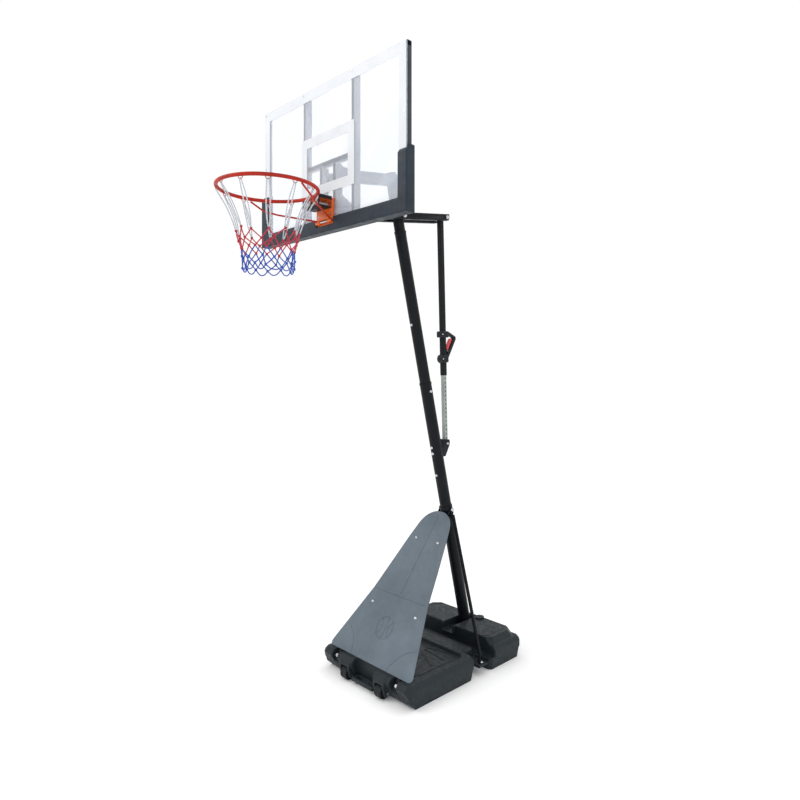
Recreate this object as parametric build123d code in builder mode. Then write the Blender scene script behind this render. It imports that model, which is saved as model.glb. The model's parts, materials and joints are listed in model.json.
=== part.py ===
"""A portable basketball hoop: a ballasted base, a leaning pole and a lift-adjusted backboard with its rim.

Millimetres. Origin on the floor at the middle of the base, +X to the right of a player who faces the board,
-Y the way the board faces, +Z up. x = 0 is the plane of symmetry.
"""

import math
import os

from build123d import *

# Base tank
BASE_HALF_WIDTH = 372.0
BASE_FRONT_Y = -495.0
BASE_FOOT_Y = -433.0
BASE_REAR_Y = 438.0
SHOULDER_Z = 126.0
PARTING_Z = 58.0
RECESS_Y = -446.0
PLATEAU_Z = 162.0
PANEL_Z = 108.0
CHANNEL_Y = (109.0, 184.0)
CHANNEL_FLOOR_Z = 70.0
NOTCH_X = 262.0
NOTCH_Y = (24.0, 140.0)
SEAT_Z = 60.0
SEAT_HALF = 43.0
SEAT_Y = (278.0, 385.0)
LEDGE_Z = 118.0
TANK_WALL = 6.0
LUG_Z = (46.0, 62.0)

# Wheels and pull handle at the front of the base
WHEEL_X = 147.0
WHEEL_WIDTH = 52.0
WHEEL_RADIUS = 36.0
AXLE_RADIUS = 5.0
AXLE_Y = -476.0
AXLE_Z = 39.0
POD_HALF = 45.0
POD_FRONT_Y = -503.0
RUNNING_GAP = 0.05

# Filler cap in the rear tank
CAP_POS = (82.0, 376.0)
CAP_BORE = 22.0

# Pole, leaning towards the board
POLE_LEAN = 0.2307
POLE_FOOT = (334.5, 117.0)
POLE_RADII = (35.0, 33.0, 31.0)
POLE_WALL = 2.0
POLE_JOINTS_Z = (70.0, 1647.0, 2513.0, 2822.0)
SWAGE_LENGTH = 80.0

# Struts, their collar on the pole, and the shield in front
CLAMP_Z = 870.0
CLAMP_HEIGHT = 40.0
CLAMP_WALL = 4.0
FRONT_TAB_X = 43.2
REAR_TAB_X = 48.4
TAB = 5.0
STRUT_RADIUS = 11.0
STRUT_WALL = 2.0
FRONT_FOOT = (254.0, -468.0, 96.0)
STRUT_BEHIND_TAB = 9.5
REAR_FOOT = (350.0, 86.0, 68.0)
SHIELD_FOOT = (-453.0, 132.0)
SHIELD_TOP = (106.0, 853.0)
SHIELD_THICKNESS = 6.0
SHIELD_BEND = 377.0
# Half-width of the shield at distances up its slope
SHIELD_EDGE = ((343, 0), (341, 28), (228, 377), (189, 566), (152, 729), (132, 806))
SHIELD_CROWN = ((113, 858), (88, 890), (50, 914), (0, 922))
GROOVE_DEPTH = 1.6

# Parallel arms: pivots on the pole (P), on the board bracket (B) and at the lift (L), as (y, z)
P_LOW = (-236.0, 2590.0)
P_HIGH = (-280.5, 2790.0)
B_LOW = (-591.5, 2539.0)
L_TOP = (107.0, 2639.0)
ARM_WIDTH = 25.0
ARM_HEIGHT = 38.0
ARM_WALL = 2.0
ARM_X = 49.0
PIVOT_RADIUS = 6.0
OPEN_PIVOT_GAP = 0.3

# Lift: a black tube over a perforated silver one, which stands in a bracket behind the pole
L_FOOT = (150.0, 1272.0)
LIFT_SIZE = 30.0
LIFT_WALL = 1.5
LIFT_END = 950.0
INNER_SIZE = 25.0
INNER_TOP = 640.0
INNER_FOOT_GAP = 14.0
FOOT_PLATE_X = 17.0
FOOT_PLATE = 4.0

# Handle on the lift tube, in the lift's own (across, along) coordinates from its top pivot
HANDLE_TOP = -682.0
HANDLE_LOW = -876.0
HANDLE_HALF = 22.0
GRIP_HALF = 14.0
TRIGGER_PIVOT = (26.0, -801.0)

# Backboard
BOARD_Y = -721.0
BOARD_WIDTH = 1220.0
BOARD_LOW = 2441.0
BOARD_HIGH = 3203.0
PANEL_THICKNESS = 6.0
PRINT = 0.6
LINE = 50.0
SQUARE_HALF = 229.0
SQUARE_Z = (2635.0, 2950.0)
SCREW_RADIUS = 2.5
RAIL = 25.0
RAIL_WALL = 1.5
UPRIGHT_X = 211.0
UPRIGHT_SIZE = (20.0, 40.0)
BRACKET_X = 57.5
CROSS_BAR_Z = 2775.0
SIDE_PLATE = 5.0
PAD_TOP = 2735.0
PAD_FRONT_TOP = 2500.0

# Rim
RIM_CENTRE = (0.0, -1056.0, 2586.0)
RIM_RADIUS = 234.0
ROD_RADIUS = 9.0
HOOKS = 12
HINGE = (-738.0, 2480.0)
SHELF_Z = (2586.0, 2592.0)
PLATE_HALF = 67.0
COVER_HALF = 71.0
MOUNT_PLATE = 5.0
SPRING_X = 36.0
SPRING_Z = 2560.0
SPRING_RADIUS = 11.0
SPRING_WIRE = 1.9
SPRING_Y = (-806.0, -737.0)
RIM_BOLTS_Z = (2514.0, 2572.0)
BRACE_RADIUS = 4.5
NET_LEVELS = ((2570.0, 217.0), (2445.0, 178.0), (2330.0, 132.0), (2180.0, 120.0))
NET_WALL = 3.0

pieces = {}


def pole_y(z):
    """Where the pole's leaning axis is at height z."""
    return POLE_FOOT[0] - POLE_LEAN * (z - POLE_FOOT[1])


POLE_ANGLE = math.atan(POLE_LEAN)
POLE_UP = Vector(0, -math.sin(POLE_ANGLE), math.cos(POLE_ANGLE))
LIFT_ANGLE = math.atan2(L_FOOT[0] - L_TOP[0], L_TOP[1] - L_FOOT[1])
LIFT_UP = Vector(0, -math.sin(LIFT_ANGLE), math.cos(LIFT_ANGLE))
LIFT_LENGTH = math.hypot(L_FOOT[0] - L_TOP[0], L_TOP[1] - L_FOOT[1])
B_HIGH = (B_LOW[0] + P_HIGH[0] - P_LOW[0], B_LOW[1] + P_HIGH[1] - P_LOW[1])


def pole_plane(z):
    """A plane square to the pole at height z, with x to the side."""
    return Plane(origin=(0, pole_y(z), z), x_dir=(1, 0, 0), z_dir=POLE_UP)


def side_plane(y, z, x=0.0, up=Vector(0, 0, 1)):
    """A plane seen from +X, whose second axis points along up."""
    across = up.cross(Vector(1, 0, 0))
    return Plane(origin=(x, y, z), x_dir=across, z_dir=(1, 0, 0))


def foot_plane(side, out):
    """A plane at a front strut's foot, parallel to the shield and moved out of it by a distance."""
    normal = shield_plane().z_dir
    origin = Vector(side * FRONT_FOOT[0], FRONT_FOOT[1], FRONT_FOOT[2]) + normal * out
    return Plane(origin=origin, x_dir=(1, 0, 0), z_dir=normal)


def lift_side(x=0.0):
    """The lift's own side plane: (across to the rear, up along the tube) from its top pivot."""
    return side_plane(*L_TOP, x=x, up=LIFT_UP)


def lift_section(along):
    """A plane square to the lift, at a distance along it from the top pivot."""
    origin = Vector(0, *L_TOP) + LIFT_UP * along
    return Plane(origin=origin, x_dir=(1, 0, 0), z_dir=LIFT_UP)


def block(low, high, mode=Mode.ADD):
    """A box between two corners."""
    middle = tuple((a + b) / 2 for a, b in zip(low, high))
    with Locations(middle):
        Box(*[b - a for a, b in zip(low, high)], mode=mode)


def rod(start, end, radius, mode=Mode.ADD):
    """A round bar between two points."""
    axis = Vector(*end) - Vector(*start)
    with BuildSketch(Plane(origin=start, z_dir=axis)) as section:
        Circle(radius)
    extrude(section.sketch, amount=axis.length, mode=mode)


def round_tube(start, end, radius, wall):
    """A round tube between two points."""
    axis = Vector(*end) - Vector(*start)
    with BuildSketch(Plane(origin=start, z_dir=axis)) as section:
        Circle(radius)
        Circle(radius - wall, mode=Mode.SUBTRACT)
    extrude(section.sketch, amount=axis.length)


def box_tube(low, high, wall, along):
    """A rectangular tube between two corners, open at both ends of the axis named by along."""
    block(low, high)
    inner_low = [a if i == along else a + wall for i, a in enumerate(low)]
    inner_high = [b if i == along else b - wall for i, b in enumerate(high)]
    block(inner_low, inner_high, mode=Mode.SUBTRACT)


def dome_bolt(seat, direction, shank, head_radius, shank_radius):
    """A round-headed bolt: the head stands on seat, and the shank runs from it against direction."""
    axis = Vector(*direction).normalized()
    with BuildSketch(Plane(origin=seat, z_dir=axis)) as head:
        Circle(head_radius)
    extrude(head.sketch, amount=head_radius * 0.55, taper=28)
    rod(seat, Vector(*seat) - axis * shank, shank_radius)


def through_bolt(y, z, half_length, radius=PIVOT_RADIUS, head=11.0):
    """A bolt across the hoop: a domed head on +X, a nut on -X."""
    dome_bolt((half_length, y, z), (1, 0, 0), 2 * half_length, head, radius)
    with BuildSketch(Plane(origin=(-half_length, y, z), z_dir=(-1, 0, 0))) as nut:
        RegularPolygon(head * 0.95, 6)
    extrude(nut.sketch, amount=head * 0.6)


def keep(name, piece):
    pieces[name] = piece


# ---------------------------------------------------------------- base


def base_outline(grow=0.0):
    """A face with the base's plan outline: one half drawn on +X and mirrored."""
    half = BASE_HALF_WIDTH + grow
    front, rear = BASE_FRONT_Y - grow, BASE_REAR_Y + grow
    notch_low, notch_high = NOTCH_Y[0] + grow, NOTCH_Y[1] - grow
    with BuildLine() as outline:
        Polyline(
            (0, front),
            (half - 26, front),
            (half, front + 24),
            (half, notch_low - 24),
            (half - 26, notch_low),
            (NOTCH_X + grow, notch_low + 8),
            (NOTCH_X + grow, notch_high - 6),
            (half - 14, notch_high),
            (half, notch_high + 14),
            (half, rear - 26),
            (half - 26, rear),
            (0, rear),
        )
        mirror(about=Plane.YZ)
    make_face(outline.edges())


def cavity_blocks(inset, mode):
    """The hollow inside the tank, or with a larger inset the ballast in it."""
    low = TANK_WALL + inset
    side = BASE_HALF_WIDTH - TANK_WALL - 6 - inset
    front_y = BASE_FOOT_Y + 9 + inset
    rear_y = BASE_REAR_Y - 22 - inset
    deck = PANEL_Z - TANK_WALL - inset
    roof = SHOULDER_Z - TANK_WALL - inset
    with BuildSketch(Plane.XY.offset(low)) as front_cell:
        with BuildLine():
            Polyline(
                (0, front_y),
                (side - 30, front_y),
                (side, front_y + 30),
                (side, NOTCH_Y[0] - 38 - inset),
                (side - 26, NOTCH_Y[0] - 14 - inset),
                (0, NOTCH_Y[0] - 14 - inset),
            )
            mirror(about=Plane.YZ)
        make_face()
    extrude(front_cell.sketch, amount=deck - low, mode=mode)
    with BuildSketch(Plane.XY.offset(low)) as rear_cell:
        with BuildLine():
            Polyline(
                (0, CHANNEL_Y[1] + 10 + inset),
                (side - 14, CHANNEL_Y[1] + 10 + inset),
                (side - 14, rear_y - 70),
                (side - 84, rear_y),
                (0, rear_y),
            )
            mirror(about=Plane.YZ)
        make_face()
    extrude(rear_cell.sketch, amount=roof - low, mode=mode)
    neck = NOTCH_X - TANK_WALL - inset
    block((-neck, NOTCH_Y[0] - 40, low), (neck, CHANNEL_Y[1] + 40, CHANNEL_FLOOR_Z - TANK_WALL - inset), mode)


def seat_block(grow, floor, mode):
    """The well that the pole stands in, and the ledge from it to the channel."""
    half = SEAT_HALF + grow
    block((-half, SEAT_Y[0] - grow, floor), (half, SEAT_Y[1] + grow, 200), mode)
    block((-half, CHANNEL_Y[1] - 20, floor + LEDGE_Z - SEAT_Z), (half, SEAT_Y[0], 200), mode)


def make_base_tank():
    with BuildPart() as base_tank:
        with BuildSketch():
            base_outline(-12)
        extrude(amount=PARTING_Z, taper=-10)
        with BuildSketch(Plane.XY.offset(PARTING_Z)):
            base_outline(-4)
        extrude(amount=5)
        with BuildSketch(Plane.XY.offset(PARTING_Z + 5)):
            base_outline(-1)
        extrude(amount=SHOULDER_Z - PARTING_Z - 5 - 22)
        with BuildSketch(Plane.XY.offset(SHOULDER_Z - 22)):
            base_outline(-1)
        extrude(amount=22, taper=40)
        # The front face slopes back to the foot
        with BuildSketch(side_plane(0, 0, -400)):
            with BuildLine():
                Polyline(
                    (BASE_FRONT_Y - 40, -5), (BASE_FOOT_Y, -5), (BASE_FOOT_Y, 2), (-466, 34), (-474, PARTING_Z),
                    (BASE_FRONT_Y, 98), (BASE_FRONT_Y - 40, 98), close=True,
                )
            make_face()
        extrude(amount=800, mode=Mode.SUBTRACT)
        # Recess between the wheels
        block((-92, BASE_FRONT_Y - 20, -5), (92, RECESS_Y, 200), Mode.SUBTRACT)
        # Sunken deck of the front tank
        with BuildSketch(Plane.XY.offset(SHOULDER_Z)):
            with BuildLine():
                Polyline((0, -392), (276, -392), (318, -350), (318, -44), (290, -16), (0, -16))
                mirror(about=Plane.YZ)
            make_face()
        extrude(amount=-(SHOULDER_Z - PANEL_Z), taper=30, mode=Mode.SUBTRACT)
        # Raised plateau of the rear tank
        with BuildSketch(Plane.XY.offset(SHOULDER_Z - 2)):
            with BuildLine():
                Polyline((0, 156), (300, 156), (346, 206), (346, 370), (290, 426), (0, 426))
                mirror(about=Plane.YZ)
            make_face()
        extrude(amount=PLATEAU_Z - SHOULDER_Z + 2, taper=34)
        # Channel across the base and the pole's well
        block((-400, CHANNEL_Y[0], CHANNEL_FLOOR_Z), (400, CHANNEL_Y[1], 200), Mode.SUBTRACT)
        block((-400, 60, SHOULDER_Z - 14), (400, CHANNEL_Y[0] + 1, 200), Mode.SUBTRACT)
        cavity_blocks(0, Mode.SUBTRACT)
        seat_block(TANK_WALL, SEAT_Z - TANK_WALL, Mode.ADD)
        block((-100, CHANNEL_Y[1] - 40, PLATEAU_Z), (100, 400, 220), Mode.SUBTRACT)
        seat_block(0, SEAT_Z, Mode.SUBTRACT)
        # Two ribs with a step that stop the pole's foot
        for side in (-1, 1):
            block_x = sorted((side * SEAT_HALF, side * 37.0))
            block((block_x[0], 300, SEAT_Z), (block_x[1], SEAT_Y[1], SEAT_Z + 34))
        # Lugs in the side notches for the rear struts
        for side in (-1, 1):
            lug = sorted((side * (NOTCH_X - 4), side * (BASE_HALF_WIDTH - 6)))
            block((lug[0], NOTCH_Y[0] + 26, LUG_Z[0]), (lug[1], NOTCH_Y[1] - 18, LUG_Z[1]))
            # Ramp at the notch's rear wall
            with BuildSketch(side_plane(0, 0, sorted((side * (NOTCH_X + 12), side * 400.0))[0])):
                with BuildLine():
                    Polyline((NOTCH_Y[1] - 10, 50), (NOTCH_Y[1], 50), (176, 140), (NOTCH_Y[1] - 10, 140), close=True)
                make_face()
            extrude(amount=400 - NOTCH_X - 12, mode=Mode.SUBTRACT)
        # Slanted pockets in the front shoulder, each with a raised seat for a strut's foot
        for side in (-1, 1):
            with BuildSketch(foot_plane(side, -22)):
                with Locations((-side * 6, 24)):
                    Rectangle(56, 114)
            extrude(amount=80, mode=Mode.SUBTRACT)
            with BuildSketch(foot_plane(side, -23)):
                RectangleRounded(32, 34, 6)
            extrude(amount=20.3)
        # Wheel pods: fenders that stand out of the front
        for side in (-1, 1):
            with BuildSketch(side_plane(0, 0, side * WHEEL_X - POD_HALF)):
                with BuildLine():
                    Polyline(
                        (RECESS_Y + 6, 22),
                        (AXLE_Y - 14, 22),
                        (AXLE_Y - 22, 40),
                        (POD_FRONT_Y, 66),
                        (POD_FRONT_Y, 100),
                        (POD_FRONT_Y + 16, 118),
                        (POD_FRONT_Y + 34, 125),
                        (RECESS_Y + 6, 126),
                        close=True,
                    )
                make_face()
            extrude(amount=2 * POD_HALF)
            half = WHEEL_WIDTH / 2 + 3
            centre = side * WHEEL_X
            block((centre - half, POD_FRONT_Y - 20, -5), (centre + half, AXLE_Y + WHEEL_RADIUS + 4, 82), Mode.SUBTRACT)
            rod((centre - POD_HALF - 1, AXLE_Y, AXLE_Z), (centre + POD_HALF + 1, AXLE_Y, AXLE_Z), AXLE_RADIUS,
                Mode.SUBTRACT)
        # Filler neck
        with Locations((*CAP_POS, PLATEAU_Z - 10)):
            Cylinder(CAP_BORE, 60, mode=Mode.SUBTRACT)
    keep("base_tank", base_tank)


def make_ballast():
    with BuildPart() as water_ballast:
        cavity_blocks(1.0, Mode.ADD)
        seat_block(TANK_WALL + 1, SEAT_Z - TANK_WALL - 1, Mode.SUBTRACT)
        with Locations((*CAP_POS, PLATEAU_Z)):
            Cylinder(CAP_BORE + 4, 40, mode=Mode.SUBTRACT)
    keep("water_ballast", water_ballast)


def make_filler_cap():
    with BuildPart() as filler_cap:
        with Locations((*CAP_POS, PLATEAU_Z + 0.4)):
            Cylinder(CAP_BORE + 6, 9, align=(Align.CENTER, Align.CENTER, Align.MIN))
        with Locations((*CAP_POS, PLATEAU_Z - 16)):
            Cylinder(CAP_BORE - RUNNING_GAP, 17, align=(Align.CENTER, Align.CENTER, Align.MIN))
        with Locations((*CAP_POS, PLATEAU_Z - 17)):
            Cylinder(CAP_BORE - 4, 14, align=(Align.CENTER, Align.CENTER, Align.MIN), mode=Mode.SUBTRACT)
        # Grip notches round the rim and a coin slot
        with Locations((*CAP_POS, PLATEAU_Z + 5)):
            with PolarLocations(CAP_BORE + 7, 12):
                Cylinder(2.5, 12, mode=Mode.SUBTRACT)
        with Locations((*CAP_POS, PLATEAU_Z + 8)):
            Box(30, 5, 5, mode=Mode.SUBTRACT)
    keep("filler_cap", filler_cap)


def make_wheels():
    for side, name in ((-1, "right"), (1, "left")):
        low = side * WHEEL_X - WHEEL_WIDTH / 2
        with BuildPart() as wheel:
            with BuildSketch(side_plane(AXLE_Y, AXLE_Z, low)):
                Circle(WHEEL_RADIUS)
                Circle(AXLE_RADIUS + RUNNING_GAP, mode=Mode.SUBTRACT)
            extrude(amount=WHEEL_WIDTH)
            fillet(wheel.edges().filter_by(GeomType.CIRCLE).group_by(SortBy.RADIUS)[-1], 4)
            for face_x in (low, low + WHEEL_WIDTH - 8):
                with BuildSketch(side_plane(AXLE_Y, AXLE_Z, face_x)):
                    Circle(WHEEL_RADIUS - 7)
                    Circle(11, mode=Mode.SUBTRACT)
                    with PolarLocations(20, 6):
                        Rectangle(24, 5, mode=Mode.SUBTRACT)
                extrude(amount=8, mode=Mode.SUBTRACT)
        keep(f"wheel_{name}", wheel)
    with BuildPart() as wheel_axles:
        for side in (-1, 1):
            centre = side * WHEEL_X
            rod((centre - POD_HALF - 2, AXLE_Y, AXLE_Z), (centre + POD_HALF + 2, AXLE_Y, AXLE_Z), AXLE_RADIUS)
            for end in (-1, 1):
                low = centre + end * (POD_HALF + 2) - 2
                rod((low, AXLE_Y, AXLE_Z), (low + 4, AXLE_Y, AXLE_Z), 8.0)
    keep("wheel_axles", wheel_axles)


def make_pull_handle():
    with BuildPart() as pull_handle:
        with BuildSketch(Plane.XY.offset(20)):
            with Locations((0, RECESS_Y - 26)):
                RectangleRounded(184, 52, 12)
            with Locations((0, RECESS_Y - 28)):
                RectangleRounded(116, 24, 6, mode=Mode.SUBTRACT)
        extrude(amount=22)
        chamfer(pull_handle.faces().sort_by(Axis.Z)[-1].edges(), 2)
    keep("pull_handle", pull_handle)


# ---------------------------------------------------------------- pole


def pole_point(z, out=0.0):
    """A point on the pole's front (out < 0) or rear side, square to its axis."""
    middle = Vector(0, pole_y(z), z)
    return middle + Vector(0, math.cos(POLE_ANGLE), math.sin(POLE_ANGLE)) * out


def make_pole():
    names = ("pole_lower", "pole_middle", "pole_upper")
    for i, name in enumerate(names):
        low, high = POLE_JOINTS_Z[i], POLE_JOINTS_Z[i + 1]
        start = low - (SWAGE_LENGTH if i else 0)
        with BuildPart() as section:
            round_tube(pole_point(start), pole_point(high), POLE_RADII[i] - (0.3 if i else 0), POLE_WALL - 0.3)
            if i < 2:
                # Rolled bead at the mouth that takes the next section
                round_tube(pole_point(high - 12), pole_point(high), POLE_RADII[i] + 1.5, 1.9)
            if i == 0:
                rod((-60, pole_y(CLAMP_Z), CLAMP_Z), (60, pole_y(CLAMP_Z), CLAMP_Z), PIVOT_RADIUS, Mode.SUBTRACT)
            if i == 2:
                for y, z in (P_LOW, P_HIGH):
                    rod((-60, y, z), (60, y, z), PIVOT_RADIUS, Mode.SUBTRACT)
        keep(name, section)
    with BuildPart() as pole_cap:
        with BuildSketch(pole_plane(POLE_JOINTS_Z[3])):
            Circle(POLE_RADII[2] + 1)
        extrude(amount=8, taper=20)
        with BuildSketch(pole_plane(POLE_JOINTS_Z[3])):
            Circle(POLE_RADII[2] - POLE_WALL - 0.2)
        extrude(amount=-16)
    keep("pole_cap", pole_cap)
    with BuildPart() as pole_bolts:
        for z, radius in ((1990, POLE_RADII[1]), (1262, POLE_RADII[0]), (1226, POLE_RADII[0]), (1092, POLE_RADII[0])):
            seat = pole_point(z, -radius - 1)
            dome_bolt(seat, pole_point(z, -1) - pole_point(z), 7, 9.0, 4.0)
        dome_bolt((POLE_RADII[0] + 1, pole_y(1595), 1595), (1, 0, 0), 7, 9.0, 4.0)
    keep("pole_bolts", pole_bolts)


def make_arm_bolts():
    half = ARM_X + ARM_WIDTH / 2 + 1
    with BuildPart() as arm_pivot_bolts:
        for y, z in (P_LOW, P_HIGH):
            through_bolt(y, z, half, PIVOT_RADIUS, 12.0)
    keep("arm_pivot_bolts", arm_pivot_bolts)


# ---------------------------------------------------------------- struts and shield


def shield_plane(depth=0.0):
    """The shield's front face: x to the side, y up the slope, depth behind the face."""
    slope = Vector(0, SHIELD_TOP[0] - SHIELD_FOOT[0], SHIELD_TOP[1] - SHIELD_FOOT[1]).normalized()
    normal = Vector(1, 0, 0).cross(slope)
    return Plane(origin=Vector(0, *SHIELD_FOOT) - normal * depth, x_dir=(1, 0, 0), z_dir=normal)




def strut_line(side):
    """Ends of a front strut's axis."""
    top = Vector(side * FRONT_TAB_X, pole_y(CLAMP_Z), CLAMP_Z)
    return foot_plane(side, -STRUT_BEHIND_TAB).origin, top


def shield_bolt_points():
    """Where the front struts cross the shield, as points on the shield's face."""
    plane = shield_plane()
    points = []
    for side in (-1, 1):
        foot, top = strut_line(side)
        for share in (0.34, 0.77):
            local = plane.to_local_coords(foot + (top - foot) * share)
            points.append((local.X, local.Y, local.Z))
    return points


def make_collar():
    bore = POLE_RADII[0] + 0.1
    with BuildPart() as strut_collar:
        with BuildSketch(pole_plane(CLAMP_Z + 4 - CLAMP_HEIGHT / 2)):
            Circle(bore + CLAMP_WALL)
            Circle(bore, mode=Mode.SUBTRACT)
        extrude(amount=CLAMP_HEIGHT)
        rod((-60, pole_y(CLAMP_Z), CLAMP_Z), (60, pole_y(CLAMP_Z), CLAMP_Z), PIVOT_RADIUS, Mode.SUBTRACT)
    keep("strut_collar", strut_collar)
    with BuildPart() as collar_bolt:
        through_bolt(pole_y(CLAMP_Z), CLAMP_Z, REAR_TAB_X + TAB / 2 + 0.2, PIVOT_RADIUS, 12.0)
    keep("collar_bolt", collar_bolt)


def strut_tab(centre, normal, along, length, hole):
    """A flattened strut end: a plate round a bolt hole."""
    plane = Plane(origin=centre - normal * (TAB / 2), x_dir=along, z_dir=normal)
    with BuildSketch(plane) as tab:
        with Locations((length / 2 - 12, 0)):
            RectangleRounded(length, 24, 8)
    extrude(tab.sketch, amount=TAB)
    rod(centre - normal * TAB, centre + normal * TAB, hole, Mode.SUBTRACT)


def flat_run(run, normal):
    """The direction of a strut as seen in the plane of its tab."""
    return (run - normal * run.dot(normal)).normalized()


def make_struts():
    across = Vector(1, 0, 0)
    up = Vector(0, 0, 1)
    for side, name in ((-1, "right"), (1, "left")):
        foot, top = strut_line(side)
        run = (top - foot).normalized()
        with BuildPart() as front_strut:
            round_tube(foot + run * 36, top - run * 48, STRUT_RADIUS, STRUT_WALL)
            strut_tab(top, across, flat_run(-run, across), 74, PIVOT_RADIUS)
            strut_tab(foot_plane(side, 0).origin, shield_plane().z_dir, flat_run(run, shield_plane().z_dir), 76, 5.0)
            for x, y, z in shield_bolt_points():
                if x * side > 0:
                    start = shield_plane().from_local_coords(Vector(x, y, 30))
                    end = shield_plane().from_local_coords(Vector(x, y, -80))
                    rod(start, end, 4.1, Mode.SUBTRACT)
        keep(f"front_strut_{name}", front_strut)
        start = Vector(side * REAR_TAB_X, pole_y(CLAMP_Z), CLAMP_Z)
        end = Vector(side * REAR_FOOT[0], REAR_FOOT[1], REAR_FOOT[2])
        run = (end - start).normalized()
        with BuildPart() as rear_strut:
            round_tube(start + run * 30, end - run * 30, STRUT_RADIUS - 1, STRUT_WALL)
            strut_tab(start, across, flat_run(run, across), 66, PIVOT_RADIUS)
            level = Vector(-run.X, -run.Y, 0).normalized()
            strut_tab(Vector(end.X, end.Y, LUG_Z[1] + 2.6), up, level, 44, 5.0)
            rod(end - run * 44, Vector(end.X, end.Y, LUG_Z[1] + 4) + level * 22, STRUT_RADIUS - 3)
        keep(f"rear_strut_{name}", rear_strut)


def make_strut_foot_bolts():
    with BuildPart() as strut_foot_bolts:
        for side in (-1, 1):
            plane = foot_plane(side, TAB / 2 + 0.1)
            dome_bolt(plane.origin, plane.z_dir, 16, 10.0, 4.8)
            seat = (side * REAR_FOOT[0], REAR_FOOT[1], LUG_Z[1] + 5.2)
            dome_bolt(seat, (0, 0, 1), 16, 10.0, 4.8)
    keep("strut_foot_bolts", strut_foot_bolts)


def make_shield():
    bottom, bend = SHIELD_EDGE[0][0], SHIELD_EDGE[2][0]
    with BuildPart() as shield_panel:
        with BuildSketch(shield_plane()) as outline:
            with BuildLine():
                Polyline((0, 0), *SHIELD_EDGE)
                Spline(SHIELD_EDGE[-1], *SHIELD_CROWN, tangents=((-0.24, 0.97), (-1, 0)))
                mirror(about=Plane.YZ)
            make_face()
            fillet(outline.vertices().group_by(Axis.Y)[0].filter_by(lambda v: abs(v.X) > 1), 20)
        extrude(amount=-SHIELD_THICKNESS)
        with BuildSketch(shield_plane()):
            with Locations((0, SHIELD_BEND)):
                Rectangle(2 * bend - 26, 3)
            with Locations((0, (SHIELD_BEND + SHIELD_CROWN[-1][1]) / 2 - 6)):
                Rectangle(3, SHIELD_CROWN[-1][1] - SHIELD_BEND - 40)
        extrude(amount=-GROOVE_DEPTH, mode=Mode.SUBTRACT)
        for side in (-1, 1):
            with BuildSketch(shield_plane()):
                with Locations((side * bottom, -40)):
                    Circle(196)
                    Circle(193, mode=Mode.SUBTRACT)
            extrude(amount=-GROOVE_DEPTH, mode=Mode.SUBTRACT)
        for x, y, _ in shield_bolt_points():
            with BuildSketch(shield_plane()):
                with Locations((x, y)):
                    Circle(4.2)
            extrude(amount=-SHIELD_THICKNESS, mode=Mode.SUBTRACT)
    keep("shield_panel", shield_panel)
    with BuildPart() as shield_bolts:
        plane = shield_plane()
        for x, y, z in shield_bolt_points():
            seat = plane.from_local_coords(Vector(x, y, 0.2))
            dome_bolt(seat, plane.z_dir, -z + STRUT_RADIUS + 8, 8.5, 4.0)
    keep("shield_bolts", shield_bolts)


# ---------------------------------------------------------------- arms and lift


def arm_bar(x, start, end, holes, reach=19.0):
    """A rectangular tube arm with bevelled ends, in the plane x, and its pivot holes."""
    along = Vector(0, end[0] - start[0], end[1] - start[1])
    length = along.length
    plane = side_plane(*start, x=x - ARM_WIDTH / 2, up=Vector(1, 0, 0).cross(along.normalized()))
    half = ARM_HEIGHT / 2
    with BuildSketch(plane) as bar:
        with BuildLine():
            Polyline(
                (-reach, half), (length + reach, half), (length + reach, 0), (length + reach - 9, -half),
                (-reach + 9, -half), (-reach, 0), close=True,
            )
        make_face()
    extrude(bar.sketch, amount=ARM_WIDTH)
    with BuildSketch(plane.offset(ARM_WALL)) as hollow:
        with Locations((length / 2, 0)):
            Rectangle(length + 2 * reach - 2 * 12, ARM_HEIGHT - 2 * ARM_WALL)
    extrude(hollow.sketch, amount=ARM_WIDTH - 2 * ARM_WALL, mode=Mode.SUBTRACT)
    for (y, z), radius in holes:
        rod((x - ARM_WIDTH, y, z), (x + ARM_WIDTH, y, z), radius, Mode.SUBTRACT)


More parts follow.
